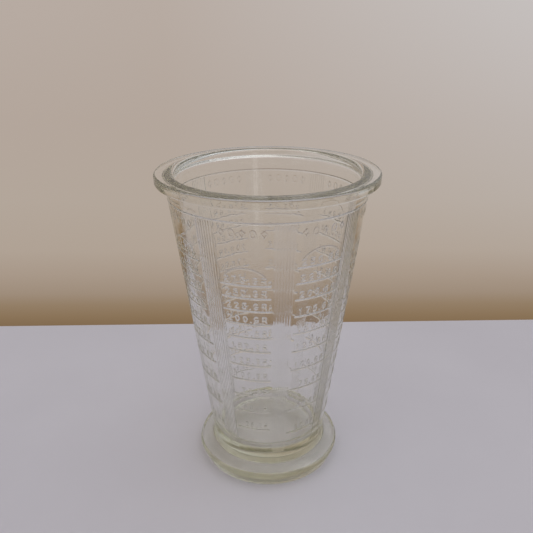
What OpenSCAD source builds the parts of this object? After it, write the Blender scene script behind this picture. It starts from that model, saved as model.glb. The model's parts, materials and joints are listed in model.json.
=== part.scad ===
// Pressed-glass kitchen measure: a tapered bowl on a flared foot, with a broad flat rim.
// Eight scale panels stand round the wall, parted by eight bands of fine vertical ribs.
// The beaker stands on z = 0 with its axis on +Z. Panel 1 faces -Y, turned a little to -X.

/* [Bowl] */
// Height from the table to the top of the rim
height = 160; // [150:1:175]
// Outer radius of the wall where it leaves the foot
wall_base_r = 30; // [29:0.5:31]
// Outer radius of the wall under the rim
wall_top_r = 49; // [47:0.5:50]
// Thickness of the wall, measured level
wall_t = 4.4; // [3.5:0.1:5]
// Height of the bowl's floor above the table
floor_h = 15; // [14:0.5:17]
// Radius of the inner corner between floor and wall
corner_r = 9; // [7:0.5:10]

/* [Rim] */
// Outer radius of the rim
rim_r = 54; // [53:0.5:56]
// Thickness of the rim
rim_t = 4.8; // [4.4:0.1:5.5]
// Radius of the rounding on the rim's outer edges
rim_edge_r = 1.1; // [0.6:0.1:1.6]
// Radius of the rounding between the mouth and the rim's top
mouth_r = 2.6; // [1.5:0.1:3]
// Radius of the fillet between the wall and the rim's underside
rim_fillet_r = 1.2; // [0.8:0.1:1.6]
// Height of the collar line's middle below the top of the rim
collar_drop = 12; // [10:0.5:13]

/* [Foot] */
// Radius of the foot where it is widest
foot_r = 38.7; // [37.5:0.1:40]
// Radius of the foot at the table
foot_base_r = 36.8; // [36:0.1:37]
// Height at which the foot is widest
foot_waist_h = 6; // [5:0.5:6.5]
// Radius of the foot's shoulder
shoulder_r = 2.6; // [2:0.1:3]
// Height of the foot where the bowl stands on it
foot_h = 10; // [9.5:0.5:11]
// Radius of the fillet between the foot and the wall
foot_fillet_r = 3; // [2:0.5:4]
// Depth of the domed hollow under the foot
kick_depth = 1.2; // [0.6:0.2:2]
// Radius of the hollow under the foot
kick_r = 29; // [24:1:32]

/* [Ribs] */
// Ribs in one band
ribs = 7; // [5:1:7]
// Angle from one rib to the next, in degrees
rib_pitch = 1.7; // [1.6:0.1:1.9]
// Angle that one rib covers, in degrees
rib_angle = 1.2; // [0.8:0.05:1.4]
// How far the ribs stand out from the wall
rib_relief = 0.2; // [0.1:0.05:0.4]
// Height of the lower end of the ribs
rib_low = 17; // [15:1:25]

/* [Scales] */
// Angle that a graduation line covers, in degrees
line_angle = 31; // [26:1:32]
// Width of a graduation line at the wall
line_w = 1; // [0.8:0.1:1.2]
// How far lines, figures and marks stand out from the wall
relief = 0.35; // [0.25:0.05:0.5]
// Height of the figures
figure_h = 3.9; // [3:0.1:4]
// Width of the strokes that draw a figure
stroke_w = 0.65; // [0.5:0.05:0.8]
// Angle from one figure to the next, in degrees
figure_pitch = 5.1; // [4.6:0.1:5.3]
// Height of the marks at the head of a panel
mark_h = 4.2; // [3.5:0.1:4.4]
// Angle from one heading mark to the next, in degrees
mark_pitch = 5.8; // [5:0.2:6]

/* [Hidden] */
PANEL_COUNT = 8;
// One row for each panel: amount from line to line, millilitres at the first line,
// millilitres from line to line, lines, unit
PANELS = [
    [25, 38.3, 31.5, 11, "GR"], [25, 30, 40.7, 10, "GR"],
    [25, 34, 29.5, 13, "GR"], [50, 50, 50, 8, "ml"],
    [25, 36, 50, 8, "GR"], [25, 33, 35.5, 11, "GR"],
    [50, 50, 50, 8, "ml"], [25, 28, 40.6, 10, "GR"]
];
$fn = 96;

// Angle of a panel's middle, from -Y towards +X
FIRST_PANEL = -13.5;
PANEL_STEP = 360 / PANEL_COUNT;
function panel_angle(i) = FIRST_PANEL + PANEL_STEP * (i - 1);

// Depth by which relief runs into the wall, since both are one body of glass
key = 0.15;
arc_steps = 8;
// Room between a line and the foot of the figures that stand on it
figure_gap = 0.9;
dot_r = 0.45;
// Width of the dot's cell as a part of a figure's
dot_cell = 0.4;
// The arch over a panel's last figures: its room, rise, width, and depth before it is cut
arch_gap = 0.6;
arch_rise = 4;
arch_span = 19;
arch_depth = 8;
// Room between the collar line and the rib tops, and between it and the heading marks
rib_top_gap = 1;
mark_top_gap = 2.6;

// The wall is a cone: its outer and inner radius at a height, and how far it leans
rim_low = height - rim_t;
slope = (wall_top_r - wall_base_r) / (rim_low - foot_h);
lean = atan(slope);
function outer_r(z) = wall_base_r + slope * (z - foot_h);
function inner_r(z) = outer_r(z) - wall_t;

// The hollow under the foot is a shallow dome: its radius, and half the angle it spans
dome_r = (kick_r * kick_r + kick_depth * kick_depth) / (2 * kick_depth);
dome_angle = asin(kick_r / dome_r);

// Round corners run smoothly into the sloping wall: where they end, and their centres
corner_top = floor_h + corner_r * (1 - sin(lean));
corner_x = inner_r(corner_top) - corner_r * cos(lean);
foot_fillet_x = outer_r(foot_h + foot_fillet_r * (1 + sin(lean))) + foot_fillet_r * cos(lean);
rim_fillet_x = outer_r(rim_low - rim_fillet_r * (1 - sin(lean))) + rim_fillet_r * cos(lean);
foot_edge_r = 1;

collar_z = height - collar_drop;
rib_high = collar_z - rib_top_gap;
mark_z = collar_z - mark_top_gap - mark_h;

// Volume that the round corner takes from the bowl, and the height of a filling in millilitres
corner_fill = (1 - PI / 4) * corner_r * corner_r * 2 * PI * inner_r(floor_h);
function level(ml) =
    let (cube_r = pow(inner_r(floor_h), 3) + 3 * slope * (1000 * ml + corner_fill) / PI)
    foot_h + (pow(cube_r, 1 / 3) + wall_t - wall_base_r) / slope;

// What a panel says, and the heights of its lines
function amount(i, n) = n * PANELS[i - 1][0];
function lines(i) = PANELS[i - 1][3];
function unit(i) = PANELS[i - 1][4];
function line_z(i, n) = level(PANELS[i - 1][1] + (n - 1) * PANELS[i - 1][2]);

// Strokes of the figures, named as on a seven-bar display, and of the letters. Each is
// [left, right, low, high] in a cell that runs from -1 to 1 across and from 0 to 2 up.
BARS = [
    [-1, 1, 2, 2], [1, 1, 1, 2], [1, 1, 0, 1], [-1, 1, 0, 0], [-1, -1, 0, 1], [-1, -1, 1, 2],
    [-1, 1, 1, 1]
];
FIGURES = [
    "abcdef", "", "abdeg", "abcdg", "bcfg", "acdfg", "acdefg", "abc", "abcdefg", "abcdfg"
];
function strokes(c) =
    c == "1" || c == "l" ? [[0, 0, 0, 2]]
    : c == "m" ? [[-1, 1, 1.3, 1.3], [-1, -1, 0, 1.3], [0, 0, 0, 1.3], [1, 1, 0, 1.3]]
    : c == "G" ? [[-1, 1, 2, 2], [-1, -1, 0, 2], [-1, 1, 0, 0], [1, 1, 0, 0.9], [0, 1, 0.9, 0.9]]
    : c == "R" ? [[-1, 1, 2, 2], [-1, -1, 0, 2], [1, 1, 1, 2], [-1, 1, 1, 1], [0.4, 0.4, 0, 1]]
    : [for (bar = FIGURES[ord(c) - ord("0")]) BARS[ord(bar) - ord("a")]];

function arc(x, y, r, from, to) =
    [for (i = [0:arc_steps]) let (a = from + (to - from) * i / arc_steps)
        [x + r * cos(a), y + r * sin(a)]];

// Puts a shape drawn at +X on the wall at an angle from -Y
module at_angle(a) rotate([0, 0, a - 90]) children();

// Stands a flat outline on the wall: x runs along the wall to the right, y up the wall
module on_wall(a, z)
    at_angle(a) translate([outer_r(z), 0, z]) rotate([0, lean, 0])
        translate([-key, 0, 0]) rotate([90, 0, 90]) linear_extrude(key + relief) children();

// A raised strip round the wall at height z, over an angle that starts at a
module strip(z, a, angle, w)
    at_angle(a) rotate_extrude(angle = angle) polygon([
        [outer_r(z - w / 2) - key, z - w / 2],
        [outer_r(z - w / 2), z - w / 2],
        [outer_r(z) + relief, z - w / 4],
        [outer_r(z) + relief, z + w / 4],
        [outer_r(z + w / 2), z + w / 2],
        [outer_r(z + w / 2) - key, z + w / 2]
    ]);

module foot() color("palegoldenrod", 0.6)
    rotate_extrude() polygon(concat(
        arc(0, kick_depth - dome_r, dome_r, 90, 90 - dome_angle),
        arc(foot_base_r - foot_edge_r, foot_edge_r, foot_edge_r, -90, -15),
        arc(foot_r - shoulder_r, foot_waist_h, shoulder_r, 0, 66),
        arc(foot_fillet_x, foot_h + foot_fillet_r, foot_fillet_r, -90, -180 - lean),
        [[outer_r(foot_h), foot_h], [0, foot_h]]
    ));

module bowl_floor() color("gainsboro", 0.6)
    rotate_extrude() polygon(concat(
        [[0, foot_h], [outer_r(foot_h), foot_h], [outer_r(corner_top), corner_top]],
        arc(corner_x, floor_h + corner_r, corner_r, -lean, -90),
        [[0, floor_h]]
    ));

module bowl_wall() color("lightgray", 0.5)
    rotate_extrude() polygon([
        [inner_r(corner_top), corner_top], [outer_r(corner_top), corner_top],
        [outer_r(rim_low), rim_low], [inner_r(rim_low), rim_low]
    ]);

module rim() color("silver", 0.6)
    rotate_extrude() polygon(concat(
        [[inner_r(rim_low), rim_low], [outer_r(rim_low), rim_low]],
        arc(rim_fillet_x, rim_low - rim_fillet_r, rim_fillet_r, 180 - lean, 90),
        arc(rim_r - rim_edge_r, rim_low + rim_edge_r, rim_edge_r, -90, 0),
        arc(rim_r - rim_edge_r, height - rim_edge_r, rim_edge_r, 0, 90),
        arc(inner_r(rim_low) + mouth_r, height - mouth_r, mouth_r, 90, 180)
    ));

module collar_line() color("darkgray") strip(collar_z, 0, 360, line_w);

module rib(a)
    at_angle(a - rib_angle / 2) rotate_extrude(angle = rib_angle) polygon([
        [outer_r(rib_low) - key, rib_low], [outer_r(rib_low) + rib_relief, rib_low],
        [outer_r(rib_high) + rib_relief, rib_high], [outer_r(rib_high) - key, rib_high]
    ]);

module rib_band(i) color("gray")
    for (k = [0:ribs - 1])
        rib(panel_angle(i) + PANEL_STEP / 2 + (k - (ribs - 1) / 2) * rib_pitch);

// The curved line over a panel's last figures: a flat arch cut to the skin of the wall
module arch(i) {
    half = arch_span / 2;
    arch_r = (half * half + arch_rise * arch_rise) / (2 * arch_rise);
    z = line_z(i, lines(i)) + figure_gap + figure_h + arch_gap;
    intersection() {
        at_angle(panel_angle(i)) translate([outer_r(z) - arch_depth / 2, 0, z])
            rotate([90, 0, 90]) linear_extrude(arch_depth) difference() {
                translate([0, arch_rise - arch_r]) circle(arch_r);
                translate([0, arch_rise - arch_r]) circle(arch_r - line_w);
                translate([-arch_r, -2 * arch_r]) square(2 * arch_r);
            }
        rotate_extrude() polygon([
            [outer_r(foot_h) - key, foot_h], [outer_r(foot_h) + relief, foot_h],
            [outer_r(rim_low) + relief, rim_low], [outer_r(rim_low) - key, rim_low]
        ]);
    }
}

module scale_lines(i) color("dimgray") {
    for (n = [1:lines(i)])
        strip(line_z(i, n), panel_angle(i) - line_angle / 2, line_angle, line_w);
    arch(i);
}

// Draws a figure or letter with square strokes in a cell of width w that stands on y = 0
module glyph(c, w) {
    across = (w - stroke_w) / 2;
    up = (figure_h - stroke_w) / 2;
    for (s = strokes(c))
        translate([s[0] * across - stroke_w / 2, s[2] * up])
            square([(s[1] - s[0]) * across + stroke_w, (s[3] - s[2]) * up + stroke_w]);
}

// Puts a figure in a row, so many cells to the right of the panel's middle
module cell(i, n, place)
    on_wall(panel_angle(i) + place * figure_pitch, line_z(i, n) + figure_gap) children();

// One row: three cells for the amount, a narrow one for a dot and two for the unit
module figure_row(i, n) {
    left = -(5 + dot_cell) / 2;
    label = str(amount(i, n));
    w = 0.74 * figure_pitch * PI / 180 * outer_r(line_z(i, n));
    for (j = [1:len(label)]) cell(i, n, left + 2.5 + j - len(label)) glyph(label[j - 1], w);
    cell(i, n, left + 3 + dot_cell / 2) translate([0, dot_r]) circle(dot_r);
    for (j = [0:1]) cell(i, n, left + 3.5 + dot_cell + j) glyph(unit(i)[j], w);
}

module scale_figures(i) color("slategray")
    for (n = [1:lines(i)]) figure_row(i, n);

module lozenge(h) polygon([[0, 0], [0.4 * h, h / 2], [0, h], [-0.4 * h, h / 2]]);

// Plain marks, a lozenge and a round by turns
module heading(i) color("slategray")
    for (k = [-2:2])
        on_wall(panel_angle(i) + k * mark_pitch, mark_z)
            if (k % 2 == 0) difference() {
                lozenge(mark_h);
                translate([0, stroke_w]) lozenge(mark_h - 2 * stroke_w);
            } else translate([0, mark_h / 2]) difference() {
                circle(0.4 * mark_h);
                circle(0.4 * mark_h - stroke_w);
            }

foot();
bowl_floor();
bowl_wall();
rim();
collar_line();
for (i = [1:PANEL_COUNT]) {
    rib_band(i);
    scale_lines(i);
    scale_figures(i);
    heading(i);
}
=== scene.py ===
import json
import math
from functools import partial

import bpy
from mathutils import Matrix, Vector, noise


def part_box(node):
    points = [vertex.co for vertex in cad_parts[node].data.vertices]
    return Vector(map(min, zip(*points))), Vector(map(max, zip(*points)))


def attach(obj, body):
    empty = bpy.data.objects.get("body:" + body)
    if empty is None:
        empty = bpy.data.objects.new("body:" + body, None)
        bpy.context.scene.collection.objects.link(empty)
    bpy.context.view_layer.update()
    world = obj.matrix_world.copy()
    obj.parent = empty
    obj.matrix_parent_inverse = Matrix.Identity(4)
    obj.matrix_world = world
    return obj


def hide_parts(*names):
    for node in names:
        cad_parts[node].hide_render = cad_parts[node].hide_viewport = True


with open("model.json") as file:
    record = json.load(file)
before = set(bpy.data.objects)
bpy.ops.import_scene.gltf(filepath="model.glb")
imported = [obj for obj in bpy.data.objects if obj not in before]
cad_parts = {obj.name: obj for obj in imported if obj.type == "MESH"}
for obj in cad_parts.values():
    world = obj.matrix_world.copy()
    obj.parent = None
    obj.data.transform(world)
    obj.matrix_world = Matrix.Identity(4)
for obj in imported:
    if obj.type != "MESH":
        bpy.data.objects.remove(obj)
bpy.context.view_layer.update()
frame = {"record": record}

# A kitchen measure of pressed glass. Everything is in metres and in the CAD model's frame:
# the beaker stands on z = 0 with its axis on +Z, and panel 1 faces -Y.

MM = 0.001

# ---------------------------------------------------------------- sizes read from the frame


def top(node):
    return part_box(node)[1].z


def radius(node):
    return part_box(node)[1].x


HEIGHT = top("rim")
RIM_R = radius("rim")
RIM_LOW = top("bowl_wall")
WALL_TOP_R = radius("bowl_wall")
FLOOR_TOP = top("bowl_floor")
SLOPE = (WALL_TOP_R - radius("bowl_floor")) / (RIM_LOW - FLOOR_TOP)
LEAN = math.atan(SLOPE)
FOOT_R = radius("foot")
FOOT_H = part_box("bowl_floor")[0].z
COLLAR_Z = (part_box("collar_line")[0].z + top("collar_line")) / 2
RIB_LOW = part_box("rib_band_1")[0].z
RIB_HIGH = top("rib_band_1")
MARK_H = (top("heading_1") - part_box("heading_1")[0].z) / math.cos(LEAN)
MARK_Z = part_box("heading_1")[0].z

# ---------------------------------------------------------------- sizes that the boxes don't give

WALL_T = 4.4 * MM
FLOOR_H = 15 * MM
CORNER_R = 9 * MM
RIM_EDGE_R = 1.1 * MM
MOUTH_R = 2.6 * MM
RIM_FILLET_R = 1.2 * MM
FOOT_BASE_R = 36.8 * MM
FOOT_WAIST_H = 6 * MM
SHOULDER_R = 2.6 * MM
FOOT_EDGE_R = 1 * MM
FOOT_FILLET_R = 3 * MM
KICK_DEPTH = 1.2 * MM
KICK_R = 29 * MM

# Where the round of the foot's lower edge and that of its shoulder end, in degrees up from level
FOOT_EDGE_END = -15
SHOULDER_END = 66

# How far raised work stands out of the wall, how deep it reaches into it, and how far the
# faded sides of a stroke lie under the skin
FIGURE_RELIEF = 0.16 * MM
LINE_RELIEF = 0.25 * MM
MARK_RELIEF = 0.1 * MM
RIB_RELIEF = 0.1 * MM
KEY = 0.15 * MM
SINK = 0.02 * MM

# How far the glass wanders outside, in the bowl and at the foot, each with a place of its own
# in the noise, and how closely the waves follow one another round the axis and up it
OUTER_WAVE, OUTER_SEED = 0.035 * MM, 0
INNER_WAVE, INNER_SEED = 0.09 * MM, 40
FOOT_WAVE, FOOT_SEED = 0.15 * MM, 80
WAVES_ROUND = 2.2
WAVES_UP = 22

# How finely the meshes are divided
BODY_SIDES = 256
BODY_STEP = 1.6 * MM
COLLAR_STEPS = 288
RIB_STEPS = 40
LINE_STEPS = 24
SECTION_STEPS = 10
STROKE_STEP = 0.9 * MM
SHARP_ANGLE = 50

# Angles round the wall and widths that go with the cone are in degrees
PANEL_COUNT = 8
FIRST_PANEL = -13.5
PANEL_STEP = 360 / PANEL_COUNT
RIBS = 7
RIB_PITCH = 1.7
RIB_ANGLE = 1.7
LINE_ANGLE = 31
LINE_W = 1.2 * MM
STROKE_W = 0.95 * MM

# A row of figures stands on its line by a gap. It is laid out in cells, and a figure fills part
# of its cell's width. The dot's cell is narrower, and the dot is a little wider than high.
FIGURE_H = 3.9 * MM
FIGURE_GAP = 0.9 * MM
FIGURE_PITCH = 5.1
FIGURE_FILL = 0.74
AMOUNT_CELLS = 3
UNIT_CELLS = 2
DOT_CELL = 0.4
DOT_R = 0.45 * MM
DOT_REACH = 0.1 * MM

# The row of marks at each panel's head. A mark's width is a share of its height.
MARKS = 5
MARK_PITCH = 5.8
MARK_FILL = 0.8

# The mould's two seams run up the wall beside the ribs that follow these panels
SEAM_PANELS = (2, 6)
SEAM_ROOM = 0.9
SEAM_W = 1.5 * MM
SEAM_RELIEF = 0.22 * MM

# The arch over each panel's last figures
ARCH_GAP = 0.6 * MM
ARCH_RISE = 4 * MM
ARCH_SPAN = 19 * MM

# For each panel: amount from line to line, millilitres at the first line, millilitres from
# line to line, lines, unit
PANELS = (
    (25, 38.3, 31.5, 11, "GR"), (25, 30, 40.7, 10, "GR"),
    (25, 34, 29.5, 13, "GR"), (50, 50, 50, 8, "ml"),
    (25, 36, 50, 8, "GR"), (25, 33, 35.5, 11, "GR"),
    (50, 50, 50, 8, "ml"), (25, 28, 40.6, 10, "GR"),
)

# ---------------------------------------------------------------- the bowl's cone


def outer_r(z):
    return WALL_TOP_R + SLOPE * (z - RIM_LOW)


def inner_r(z):
    return outer_r(z) - WALL_T


def level(ml):
    """Height to which that much fills the bowl."""
    corner_fill = (1 - math.pi / 4) * CORNER_R**2 * 2 * math.pi * inner_r(FLOOR_H)
    cube = inner_r(FLOOR_H) ** 3 + 3 * SLOPE * (ml * 1e-6 + corner_fill) / math.pi
    return FLOOR_H + (cube ** (1 / 3) - inner_r(FLOOR_H)) / SLOPE


def panel_angle(i):
    """Middle of panel i, in degrees from -Y towards +X."""
    return FIRST_PANEL + PANEL_STEP * (i - 1)


def line_heights(i):
    """Heights of panel i's graduation lines, from the lowest up."""
    first, step, count = PANELS[i - 1][1:4]
    return [level(first + step * n) for n in range(count)]


# ---------------------------------------------------------------- mesh helpers


def oval(x, y, rx, ry, start, end, steps):
    angles = [math.radians(start + (end - start) * k / steps) for k in range(steps + 1)]
    return [(x + rx * math.cos(a), y + ry * math.sin(a)) for a in angles]


def arc(x, y, r, start, end, steps=10):
    return oval(x, y, r, r, start, end, steps)


def filled(points, step):
    """The same outline with no stretch longer than step."""
    out = [points[0]]
    for (ax, ay), (bx, by) in zip(points, points[1:]):
        n = max(1, math.ceil(math.dist((ax, ay), (bx, by)) / step))
        out += [(ax + (bx - ax) * k / n, ay + (by - ay) * k / n) for k in range(1, n + 1)]
    return out


def mesh_piece(name, verts, faces, material):
    mesh = bpy.data.meshes.new(name)
    mesh.from_pydata(verts, [], faces)
    mesh.validate()
    mesh.shade_smooth()
    mesh.set_sharp_from_angle(angle=math.radians(SHARP_ANGLE))
    mesh.materials.append(material)
    piece = bpy.data.objects.new(name, mesh)
    bpy.context.collection.objects.link(piece)
    return piece


def lathe(profile, sides, shape):
    """Turns an outline whose first and last points are on the axis. shape places each point."""
    verts = [(0, 0, profile[0][1])]
    ring = profile[1:-1]
    for r, z in ring:
        for k in range(sides):
            a = 2 * math.pi * k / sides
            verts.append(shape(r, z, a))
    verts.append((0, 0, profile[-1][1]))
    faces = []
    for k in range(sides):
        n = (k + 1) % sides
        faces.append((0, 1 + n, 1 + k))
        for j in range(len(ring) - 1):
            a, b = 1 + j * sides, 1 + (j + 1) * sides
            faces.append((a + k, a + n, b + n, b + k))
        last = 1 + (len(ring) - 1) * sides
        faces.append((last + k, last + n, len(verts) - 1))
    return verts, faces


def wave(amount, z, a, seed):
    """How far the skin lies inside its true radius. a is counted from -Y towards +X."""
    x, y = WAVES_ROUND * math.sin(a), -WAVES_ROUND * math.cos(a)
    return amount * (1 + noise.noise(Vector((x, y, WAVES_UP * z + seed))))


def on_wall(anchor, z0, u, v, h):
    """A point u along the wall to the right of an angle, v up the wall from z0 and h out of it."""
    z = z0 + v * math.cos(LEAN)
    a = math.radians(anchor) + u / outer_r(z)
    r = outer_r(z) - wave(OUTER_WAVE, z, a, OUTER_SEED) + h * math.cos(LEAN)
    return (r * math.sin(a), -r * math.cos(a), z - h * math.sin(LEAN))


def swell(t):
    """1 at t = 0, falling softly to 0 at t = -1 and t = 1."""
    return 0.5 + 0.5 * math.cos(math.pi * t)


def section(half, height):
    """A soft wave across a stroke: its back lies inside the wall, and its sides fade into it."""
    front = []
    for k in range(SECTION_STEPS + 1):
        t = 2 * k / SECTION_STEPS - 1
        front.append((half * t, (height + SINK) * swell(t) - SINK))
    return [(-half, -KEY), *front, (half, -KEY)]


# Points in a section: those of its front, and the two of its back
SECTION_SIZE = SECTION_STEPS + 3

# Where a stroke's round end is cut, as shares of its half width
END_STEPS = (0.25, 0.5, 0.72, 0.9, 0.98)


def stroke(verts, faces, path, place, half, height, closed=False):
    """Adds a raised stroke along a flat path of (u, v). place maps (u, v, h) to a point.
    half is a number, or a function of how far along the path a point is, from 0 to 1."""
    width = half if callable(half) else lambda t: half
    rows = []
    n = len(path)
    for i, (u, v) in enumerate(path):
        before = path[i - 1] if i or closed else path[i]
        after = path[(i + 1) % n] if i < n - 1 or closed else path[i]
        du, dv = after[0] - before[0], after[1] - before[1]
        length = math.hypot(du, dv) or 1
        rows.append((u, v, du / length, dv / length, width(i / max(n - 1, 1)), 1))
    if not closed:
        ends = []
        for sign, row in ((-1, rows[0]), (1, rows[-1])):
            u, v, du, dv, w, _ = row
            ends.append([
                (
                    u + sign * du * w * t, v + sign * dv * w * t, du, dv,
                    w * math.sqrt(1 - t * t), swell(t),
                )
                for t in END_STEPS
            ])
        rows = ends[0][::-1] + rows + ends[1]
    start = len(verts)
    for u, v, du, dv, w, s in rows:
        for x, h in section(w, height * s):
            verts.append(place(u + dv * x, v - du * x, h))
    count = len(rows)
    for i in range(count if closed else count - 1):
        a, b = start + i * SECTION_SIZE, start + (i + 1) % count * SECTION_SIZE
        for k in range(SECTION_SIZE):
            m = (k + 1) % SECTION_SIZE
            faces.append((a + k, a + m, b + m, b + k))
    if not closed:
        last = start + (count - 1) * SECTION_SIZE
        faces.append(tuple(start + k for k in reversed(range(SECTION_SIZE))))
        faces.append(tuple(last + k for k in range(SECTION_SIZE)))


# ---------------------------------------------------------------- materials

GLASS_IOR = 1.515
DEPTH_TINT = (0.78, 0.773, 0.655)
DEPTH_DENSITY = 30

# The face that the beaker stands on is worn: how high the wear reaches, how rough the glass is
# there, and how much of its clearness is left. A slighter roughness fades out up to the floor.
WORN_H = 1.6 * MM
WORN_ROUGHNESS = 0.16
WORN_CLEARNESS = 0.93
FOOT_ROUGHNESS = 0.08

# Least and most roughness of the skin
BODY_ROUGHNESS = (0.0, 0.03)
RELIEF_ROUGHNESS = (0.01, 0.05)

TABLE_TONES = ((0.570, 0.557, 0.612), (0.599, 0.587, 0.642))
TABLE_ROUGHNESS = 0.85
TABLE_SPECULAR = 0.2


class Tree:
    """Short calls for building a material's node tree."""

    def __init__(self, name):
        self.material = bpy.data.materials.new(name)
        self.material.use_nodes = True
        self.nodes = self.material.node_tree.nodes
        self.links = self.material.node_tree.links
        self.shader = self.nodes["Principled BSDF"]
        self.output = self.nodes["Material Output"]

    def add(self, kind, **values):
        node = self.nodes.new(kind)
        for key, value in values.items():
            if key in node.inputs:
                node.inputs[key].default_value = value
            else:
                setattr(node, key, value)
        return node

    def link(self, a, b):
        self.links.new(a, b)

    def noise(self, scale, detail):
        place = self.nodes.get("Texture Coordinate") or self.add("ShaderNodeTexCoord")
        node = self.add("ShaderNodeTexNoise", Scale=scale, Detail=detail)
        self.link(place.outputs["Object"], node.inputs["Vector"])
        return node.outputs["Fac"]

    def ramp(self, fac, low, high, start=0.3, end=0.7):
        node = self.add("ShaderNodeMapRange")
        node.inputs["From Min"].default_value = start
        node.inputs["From Max"].default_value = end
        node.inputs["To Min"].default_value = low
        node.inputs["To Max"].default_value = high
        self.link(fac, node.inputs["Value"])
        return node.outputs["Result"]

    def mix(self, fac, a, b):
        node = self.add("ShaderNodeMix", data_type="RGBA")
        node.inputs["A"].default_value = (*a, 1)
        node.inputs["B"].default_value = (*b, 1)
        self.link(fac, node.inputs["Factor"])
        return node.outputs["Result"]

    def bump(self, height, strength, distance, under=None):
        node = self.add("ShaderNodeBump", Strength=strength, Distance=distance)
        self.link(height, node.inputs["Height"])
        if under:
            self.link(under, node.inputs["Normal"])
        return node.outputs["Normal"]


def glass(name, skin_roughness):
    """Pressed glass with slow waves from the mould, a fine skin, a worn base and a tint that
    shows where it is thick."""
    t = Tree(name)
    s = t.shader
    s.inputs["Transmission Weight"].default_value = 1
    s.inputs["IOR"].default_value = GLASS_IOR
    s.inputs["Base Color"].default_value = (1, 1, 1, 1)
    place = t.add("ShaderNodeTexCoord")
    split = t.add("ShaderNodeSeparateXYZ")
    t.link(place.outputs["Object"], split.inputs["Vector"])
    z = split.outputs["Z"]

    skin_and_foot = t.add("ShaderNodeMath", operation="MULTIPLY_ADD")
    t.link(t.ramp(z, 1, 0, WORN_H, FLOOR_H), skin_and_foot.inputs[0])
    skin_and_foot.inputs[1].default_value = FOOT_ROUGHNESS
    t.link(t.ramp(t.noise(60, 4), *skin_roughness), skin_and_foot.inputs[2])
    rougher = t.add("ShaderNodeMath", operation="MAXIMUM")
    t.link(skin_and_foot.outputs[0], rougher.inputs[0])
    t.link(t.ramp(z, WORN_ROUGHNESS, 0, WORN_H / 2, WORN_H), rougher.inputs[1])
    t.link(rougher.outputs[0], s.inputs["Roughness"])
    clearness = t.ramp(z, WORN_CLEARNESS, 1, WORN_H / 2, WORN_H)
    t.link(clearness, s.inputs["Transmission Weight"])

    slow = t.bump(t.noise(90, 2), 0.25, 0.4 * MM)
    t.link(t.bump(t.noise(700, 3), 0.10, 0.05 * MM, slow), s.inputs["Normal"])
    depth = t.add("ShaderNodeVolumeAbsorption", Color=(*DEPTH_TINT, 1), Density=DEPTH_DENSITY)
    t.link(depth.outputs["Volume"], t.output.inputs["Volume"])
    return t.material


BODY_GLASS = glass("pressed_glass", BODY_ROUGHNESS)
RELIEF_GLASS = glass("relief_glass", RELIEF_ROUGHNESS)


def cloth():
    """Pale table cover with a close weave and a faint unevenness."""
    t = Tree("table_cover")
    s = t.shader
    t.link(t.mix(t.ramp(t.noise(9, 4), 0, 1), *TABLE_TONES), s.inputs["Base Color"])
    s.inputs["Roughness"].default_value = TABLE_ROUGHNESS
    s.inputs["Specular IOR Level"].default_value = TABLE_SPECULAR
    soft = t.bump(t.noise(35, 3), 0.12, 2 * MM)
    t.link(t.bump(t.noise(1500, 2), 0.15, 0.2 * MM, soft), s.inputs["Normal"])
    return t.material


# ---------------------------------------------------------------- the glass body

# The bowl's own waves take in its floor and start this far below it. The foot's waves start at
# this radius, so that the underside stays level.
FLOOR_ROOM = 0.5 * MM
FOOT_WAVE_R = FOOT_BASE_R - 5 * MM


def ripple(r, z, a):
    """Pressed glass isn't quite true: its skin wanders, and most at the foot, which also sags."""
    in_bowl = z > FLOOR_H - FLOOR_ROOM and r < outer_r(z) - WALL_T / 2
    on_foot = z < FOOT_H + FOOT_FILLET_R and r > FOOT_WAVE_R
    if in_bowl:
        r -= wave(INNER_WAVE, z, a, INNER_SEED)
    elif on_foot:
        sag = wave(FOOT_WAVE, z, a, FOOT_SEED)
        r -= sag
        z -= sag * min(1, z / FOOT_H)
    else:
        r -= wave(OUTER_WAVE, z, a, OUTER_SEED)
    return (r * math.sin(a), -r * math.cos(a), z)


def body_profile():
    """Outline from the middle of the underside, out and up, over the rim and down to the floor."""
    up, down = 1 + math.sin(LEAN), 1 - math.sin(LEAN)
    fillet_x = outer_r(FOOT_H + FOOT_FILLET_R * up) + FOOT_FILLET_R * math.cos(LEAN)
    rim_x = outer_r(RIM_LOW - RIM_FILLET_R * down) + RIM_FILLET_R * math.cos(LEAN)
    corner_z = FLOOR_H + CORNER_R
    corner_x = inner_r(FLOOR_H + CORNER_R * down) - CORNER_R * math.cos(LEAN)
    lean = math.degrees(LEAN)
    dome_r = (KICK_R**2 + KICK_DEPTH**2) / (2 * KICK_DEPTH)
    reach = math.degrees(math.asin(KICK_R / dome_r))
    points = arc(0, KICK_DEPTH - dome_r, dome_r, 90, 90 - reach, 20)
    points += arc(FOOT_BASE_R - FOOT_EDGE_R, FOOT_EDGE_R, FOOT_EDGE_R, -90, FOOT_EDGE_END)
    points += arc(FOOT_R - SHOULDER_R, FOOT_WAIST_H, SHOULDER_R, 0, SHOULDER_END)
    points += arc(fillet_x, FOOT_H + FOOT_FILLET_R, FOOT_FILLET_R, -90, -180 - lean)
    points += arc(rim_x, RIM_LOW - RIM_FILLET_R, RIM_FILLET_R, 180 - lean, 90)
    points += arc(RIM_R - RIM_EDGE_R, RIM_LOW + RIM_EDGE_R, RIM_EDGE_R, -90, 0)
    points += arc(RIM_R - RIM_EDGE_R, HEIGHT - RIM_EDGE_R, RIM_EDGE_R, 0, 90)
    points += arc(inner_r(RIM_LOW) + MOUTH_R, HEIGHT - MOUTH_R, MOUTH_R, 90, 180, 14)
    points += [(inner_r(RIM_LOW), RIM_LOW)]
    points += arc(corner_x, corner_z, CORNER_R, -lean, -90, 14)
    points += [(0, FLOOR_H)]
    return filled(points, BODY_STEP)


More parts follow.
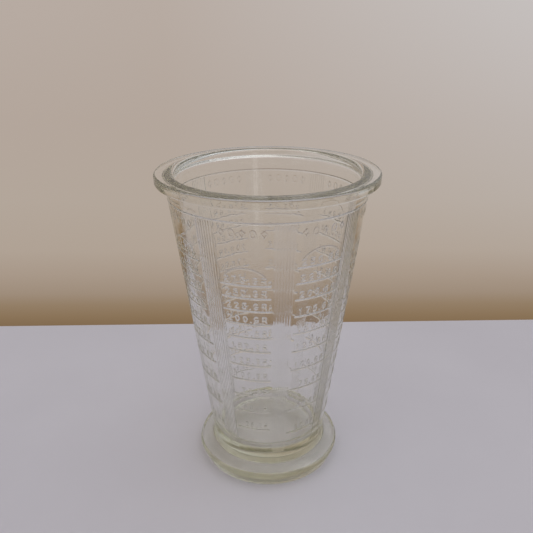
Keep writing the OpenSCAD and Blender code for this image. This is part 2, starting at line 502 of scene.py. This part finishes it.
def make_body():
    verts, faces = lathe(body_profile(), BODY_SIDES, ripple)
    return mesh_piece("glass_body", verts, faces, BODY_GLASS)


# ---------------------------------------------------------------- raised work on the wall


def make_collar():
    verts, faces = [], []
    turn = 2 * math.pi * outer_r(COLLAR_Z)
    for k in range(COLLAR_STEPS):
        for v, h in section(LINE_W / 2, LINE_RELIEF):
            verts.append(on_wall(0, COLLAR_Z, turn * k / COLLAR_STEPS, v, h))
    for i in range(COLLAR_STEPS):
        a, b = i * SECTION_SIZE, (i + 1) % COLLAR_STEPS * SECTION_SIZE
        for k in range(SECTION_SIZE):
            m = (k + 1) % SECTION_SIZE
            faces.append((a + k, b + k, b + m, a + m))
    return mesh_piece("collar_ring", verts, faces, RELIEF_GLASS)


def make_ribs(i):
    """Seven ribs side by side. They widen with the cone, and fade out at both ends. Beside two
    of the bands a seam of the mould runs up the wall."""
    verts, faces = [], []
    rise = RIB_HIGH - RIB_LOW
    length = rise / math.cos(LEAN)
    path = [(0, length * k / RIB_STEPS) for k in range(RIB_STEPS + 1)]
    middle = panel_angle(i) + PANEL_STEP / 2
    half_angle = math.radians(RIB_ANGLE) / 2

    def half_width(t):
        return half_angle * outer_r(RIB_LOW + rise * t)

    for k in range(RIBS):
        a = middle + (k - (RIBS - 1) / 2) * RIB_PITCH
        place = partial(on_wall, a, RIB_LOW)
        stroke(verts, faces, path, place, half_width, RIB_RELIEF)
    if i in SEAM_PANELS:
        place = partial(on_wall, middle - RIBS / 2 * RIB_PITCH - SEAM_ROOM, RIB_LOW)
        stroke(verts, faces, path, place, SEAM_W / 2, SEAM_RELIEF)
    return mesh_piece(f"ribs_{i}", verts, faces, RELIEF_GLASS)


def make_lines(i):
    """A panel's graduation lines, and the arch over its last figures."""
    verts, faces = [], []
    for z in line_heights(i):
        half = math.radians(LINE_ANGLE / 2) * outer_r(z) - LINE_W / 2
        path = [(half * (2 * k / LINE_STEPS - 1), 0) for k in range(LINE_STEPS + 1)]
        place = partial(on_wall, panel_angle(i), z)
        stroke(verts, faces, path, place, LINE_W / 2, LINE_RELIEF)
    half = ARCH_SPAN / 2
    arch_r = (half * half + ARCH_RISE**2) / (2 * ARCH_RISE)
    reach = math.degrees(math.asin(half / arch_r))
    path = arc(0, ARCH_RISE - arch_r, arch_r - LINE_W / 2, 90 + reach, 90 - reach, 30)
    z = line_heights(i)[-1] + FIGURE_GAP + FIGURE_H + ARCH_GAP
    place = partial(on_wall, panel_angle(i), z)
    stroke(verts, faces, path, place, LINE_W / 2, MARK_RELIEF)
    return mesh_piece(f"lines_{i}", verts, faces, RELIEF_GLASS)


# Figures are drawn in a cell from -0.5 to 0.5 across and 0 to 1 up, each a list of strokes.
# A stroke that ends where it began is closed.
GLYPHS = {
    "0": [oval(0, 0.5, 0.42, 0.5, 90, 450, 24)],
    "1": [[(-0.26, 0.76), (0.06, 1), (0.06, 0)]],
    "2": [oval(0, 0.71, 0.42, 0.29, 165, -40, 12) + [(-0.44, 0), (0.46, 0)]],
    "3": [
        oval(-0.04, 0.76, 0.38, 0.24, 150, -80, 10) + oval(-0.04, 0.27, 0.46, 0.27, 80, -150, 12),
    ],
    "4": [[(0.2, 0), (0.2, 1), (-0.48, 0.3), (0.48, 0.3)]],
    "5": [[(0.4, 1), (-0.34, 1), (-0.38, 0.54)] + oval(-0.02, 0.33, 0.46, 0.33, 125, -145, 12)],
    "6": [oval(0.08, 0.36, 0.52, 0.64, 70, 180, 8) + oval(0, 0.31, 0.44, 0.31, 180, 530, 20)],
    "7": [[(-0.44, 1), (0.46, 1), (-0.14, 0)]],
    "8": [oval(0, 0.76, 0.36, 0.24, 90, 450, 20), oval(0, 0.27, 0.44, 0.27, 90, 450, 20)],
    "9": [oval(-0.08, 0.64, 0.52, 0.64, -110, 0, 8) + oval(0, 0.69, 0.44, 0.31, 0, 350, 20)],
    "l": [[(0, 0), (0, 1)]],
    "m": [
        [(-0.5, 0), (-0.5, 0.64)],
        oval(-0.25, 0.4, 0.25, 0.24, 180, 0, 8) + [(0, 0)],
        oval(0.25, 0.4, 0.25, 0.24, 180, 0, 8) + [(0.5, 0)],
    ],
    "G": [oval(0, 0.5, 0.46, 0.5, 50, 325, 20) + [(0.42, 0.46), (0.04, 0.46)]],
    "R": [
        [(-0.42, 0), (-0.42, 1)] + oval(0.02, 0.74, 0.42, 0.26, 90, -90, 12) + [(-0.42, 0.48)],
        [(0.02, 0.48), (0.46, 0)],
    ],
}


def draw(verts, faces, strokes, place, w, h, relief):
    """Draws a glyph's strokes in a box of w by h, with their edges inside it."""
    half = STROKE_W / 2
    for points in strokes:
        inset = [(x * (w - STROKE_W), half + y * (h - STROKE_W)) for x, y in points]
        closed = math.dist(points[0], points[-1]) < 1e-6
        path = inset[:-1] if closed else filled(inset, STROKE_STEP)
        stroke(verts, faces, path, place, half, relief, closed)


def make_figures(i):
    """Each row has cells for the amount, a narrow one for a dot, and cells for the unit."""
    verts, faces = [], []
    amount, unit = PANELS[i - 1][0], PANELS[i - 1][4]
    left = -(AMOUNT_CELLS + UNIT_CELLS + DOT_CELL) / 2
    for n, line_z in enumerate(line_heights(i), 1):
        z = line_z + FIGURE_GAP
        w = FIGURE_FILL * math.radians(FIGURE_PITCH) * outer_r(z)
        label = str(n * amount)
        first = left + AMOUNT_CELLS - len(label) + 0.5
        cells = [(first + k, c) for k, c in enumerate(label)]
        first = left + AMOUNT_CELLS + DOT_CELL + 0.5
        cells += [(first + k, c) for k, c in enumerate(unit)]
        for cell, c in cells:
            place = partial(on_wall, panel_angle(i) + cell * FIGURE_PITCH, z)
            draw(verts, faces, GLYPHS[c], place, w, FIGURE_H, FIGURE_RELIEF)
        dot_cell = left + AMOUNT_CELLS + DOT_CELL / 2
        place = partial(on_wall, panel_angle(i) + dot_cell * FIGURE_PITCH, z)
        dot = [(-DOT_REACH, DOT_R), (DOT_REACH, DOT_R)]
        stroke(verts, faces, dot, place, DOT_R, FIGURE_RELIEF)
    return mesh_piece(f"figures_{i}", verts, faces, RELIEF_GLASS)


LOZENGE = filled([(0, 0), (0.5, 0.5), (0, 1), (-0.5, 0.5), (0, 0)], 0.12)
ROUND = oval(0, 0.5, 0.5, 0.5, 0, 360, 28)


def make_marks(i):
    """A row of plain marks, a lozenge and a round by turns."""
    verts, faces = [], []
    for k in range(MARKS):
        a = panel_angle(i) + (k - MARKS // 2) * MARK_PITCH
        shape = ROUND if k % 2 else LOZENGE
        place = partial(on_wall, a, MARK_Z)
        draw(verts, faces, [shape], place, MARK_FILL * MARK_H, MARK_H, MARK_RELIEF)
    return mesh_piece(f"marks_{i}", verts, faces, RELIEF_GLASS)


def join_to_frame(piece, slot, *nodes):
    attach(piece, "root")
    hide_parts(*nodes)


SLOTS = {s["node"]: s["material_slot"] for s in frame["record"]["subparts"]}
join_to_frame(make_body(), SLOTS["bowl_wall"], "foot", "bowl_floor", "bowl_wall", "rim")
join_to_frame(make_collar(), SLOTS["collar_line"], "collar_line")
for i in range(1, PANEL_COUNT + 1):
    for make, node in (
        (make_ribs, "rib_band"), (make_lines, "scale_lines"),
        (make_figures, "scale_figures"), (make_marks, "heading"),
    ):
        join_to_frame(make(i), SLOTS[f"{node}_{i}"], f"{node}_{i}")

# ---------------------------------------------------------------- table, room and light

# The table's far edge runs a little aslant: its y at x = 0, and how much that grows with x
TABLE_REACH = 1.0
TABLE_BACK = 0.142
TABLE_SLANT = 0.0168
TABLE_GAP = 0.1 * MM

# Slope up from level, and the room's colour there. The dark brown stops from -0.555 to -0.39 are
# painted shade at the foot of the wall, just above the table's edge.
WALL_AND_SHADE_TONES = (
    (-1.0, (0.37, 0.35, 0.35)),
    (-0.62, (0.33, 0.30, 0.29)),
    (-0.555, (0.20, 0.13, 0.07)),
    (-0.525, (0.255, 0.173, 0.098)),
    (-0.499, (0.295, 0.213, 0.137)),
    (-0.475, (0.345, 0.267, 0.201)),
    (-0.439, (0.391, 0.313, 0.249)),
    (-0.39, (0.434, 0.361, 0.299)),
    (-0.296, (0.450, 0.382, 0.325)),
    (-0.158, (0.453, 0.381, 0.331)),
    (0.0, (0.472, 0.404, 0.359)),
    (1.0, (0.56, 0.51, 0.47)),
)

# The wall is flat behind the table, and bends round the viewer where a direction's y falls
# below this share of its level part. That part is kept from vanishing straight up and down.
WALL_TURN = 0.86
LEAST_AWAY = 0.05

# Daylight from the upper right: its colour, its strength, and how far its edges lie to the
# left of the middle and below level
GLOW_TONE = (0.66, 0.67, 0.70)
GLOW_STRENGTH = 2.0
GLOW_LEFT = 0.16
GLOW_LOW = 0.38

# The room is a little darker behind the camera: between these y, and down to this strength
DUSK_Y = (-0.7, 0.1)
DUSK_STRENGTH = 0.75


def make_table():
    reach, slant = TABLE_REACH, TABLE_SLANT * TABLE_REACH
    corners = (
        (-reach, -reach), (reach, -reach),
        (reach, TABLE_BACK + slant), (-reach, TABLE_BACK - slant),
    )
    verts = [(x, y, -TABLE_GAP) for x, y in corners]
    table = mesh_piece("table", verts, [(0, 1, 2, 3)], cloth())


def make_room():
    """A warm pale wall all round, with painted shade that darkens it to brown just above the
    table's edge.
    The tone goes by slope, so that it runs level along a flat wall behind the table."""
    world = bpy.data.worlds.new("room")
    bpy.context.scene.world = world
    world.use_nodes = True
    nodes, links = world.node_tree.nodes, world.node_tree.links
    background = nodes["Background"]

    def math_node(operation, *values):
        node = nodes.new("ShaderNodeMath")
        node.operation = operation
        for socket, value in zip(node.inputs, values):
            if isinstance(value, (int, float)):
                socket.default_value = value
            else:
                links.new(value, socket)
        return node.outputs[0]

    place = nodes.new("ShaderNodeTexCoord")
    split = nodes.new("ShaderNodeSeparateXYZ")
    links.new(place.outputs["Generated"], split.inputs["Vector"])
    x, y, z = split.outputs
    level_part = math_node("SQRT", math_node("SUBTRACT", 1, math_node("MULTIPLY", z, z)))
    away = math_node("MAXIMUM", y, math_node("MULTIPLY", level_part, WALL_TURN))
    slope = math_node("DIVIDE", z, math_node("MAXIMUM", away, LEAST_AWAY))
    ramp = nodes.new("ShaderNodeValToRGB")
    links.new(math_node("MULTIPLY_ADD", slope, 0.5, 0.5), ramp.inputs["Fac"])
    stops = ramp.color_ramp.elements
    stops[0].position, stops[0].color = 0, (*WALL_AND_SHADE_TONES[0][1], 1)
    stops[1].position, stops[1].color = 1, (*WALL_AND_SHADE_TONES[-1][1], 1)
    for height, tone in WALL_AND_SHADE_TONES[1:-1]:
        stops.new(0.5 + height / 2).color = (*tone, 1)

    right = math_node("MAXIMUM", math_node("ADD", x, GLOW_LEFT), 0)
    high = math_node("MAXIMUM", math_node("ADD", z, GLOW_LOW), 0)
    glow = nodes.new("ShaderNodeMix")
    glow.data_type = "RGBA"
    corner = math_node("MULTIPLY", right, high)
    links.new(math_node("MULTIPLY", corner, GLOW_STRENGTH), glow.inputs["Factor"])
    links.new(ramp.outputs["Color"], glow.inputs["A"])
    glow.inputs["B"].default_value = (*GLOW_TONE, 1)
    links.new(glow.outputs["Result"], background.inputs["Color"])

    dusk = nodes.new("ShaderNodeMapRange")
    dusk.inputs["From Min"].default_value = DUSK_Y[0]
    dusk.inputs["From Max"].default_value = DUSK_Y[1]
    dusk.inputs["To Min"].default_value = DUSK_STRENGTH
    links.new(y, dusk.inputs["Value"])
    links.new(dusk.outputs["Result"], background.inputs["Strength"])


# Soft lamps that face the beaker's middle: name, place, width and height, watts, colour
LAMPS = (
    ("window", (0.62, -2.1, 0.45), (0.3, 1.3), 0.8, (0.93, 0.96, 1.0)),
    ("side_window", (-1.6, -1.5, 1.1), (1.2, 1.3), 2.4, (0.96, 0.98, 1.0)),
    ("ceiling", (0.2, -0.2, 1.8), (1.8, 1.8), 7.6, (1.0, 0.99, 0.985)),
)


def make_lights():
    middle = Vector((0, 0, HEIGHT / 2))
    for name, place, size, power, colour in LAMPS:
        light = bpy.data.lights.new(name, "AREA")
        light.shape = "RECTANGLE"
        light.size, light.size_y = size
        light.energy = power
        light.color = colour
        lamp = bpy.data.objects.new(name, light)
        lamp.location = place
        lamp.rotation_mode = "QUATERNION"
        lamp.rotation_quaternion = (middle - Vector(place)).to_track_quat("-Z", "Y")
        lamp.visible_camera = False
        bpy.context.collection.objects.link(lamp)


# The camera's lens and sensor are in the camera's own millimetres. It looks down by its dip
# and leans by its roll, both in degrees.
CAMERA_PLACE = (-0.0007, -0.2787, 0.2269)
CAMERA_DIP = 22.91
CAMERA_ROLL = -0.25
CAMERA_LENS = 40.03
CAMERA_SENSOR = 36


def make_camera():
    data = bpy.data.cameras.new("camera")
    data.sensor_width = CAMERA_SENSOR
    data.lens = CAMERA_LENS
    camera = bpy.data.objects.new("camera", data)
    bpy.context.collection.objects.link(camera)
    camera.location = CAMERA_PLACE
    tilt = Matrix.Rotation(math.radians(90 - CAMERA_DIP), 3, "X")
    roll = Matrix.Rotation(math.radians(CAMERA_ROLL), 3, "Z")
    camera.rotation_euler = (tilt @ roll).to_euler()
    bpy.context.scene.camera = camera


make_table()
make_room()
make_lights()
make_camera()

# Light goes round many times inside the rim. Cycles' glossy filter is off, because with it
# the table seen through the foot is much too dark.
BOUNCES = 64
scene = bpy.context.scene
scene.view_settings.view_transform = "Standard"
scene.cycles.blur_glossy = 0
scene.cycles.max_bounces = BOUNCES
scene.cycles.transmission_bounces = BOUNCES
scene.cycles.glossy_bounces = BOUNCES
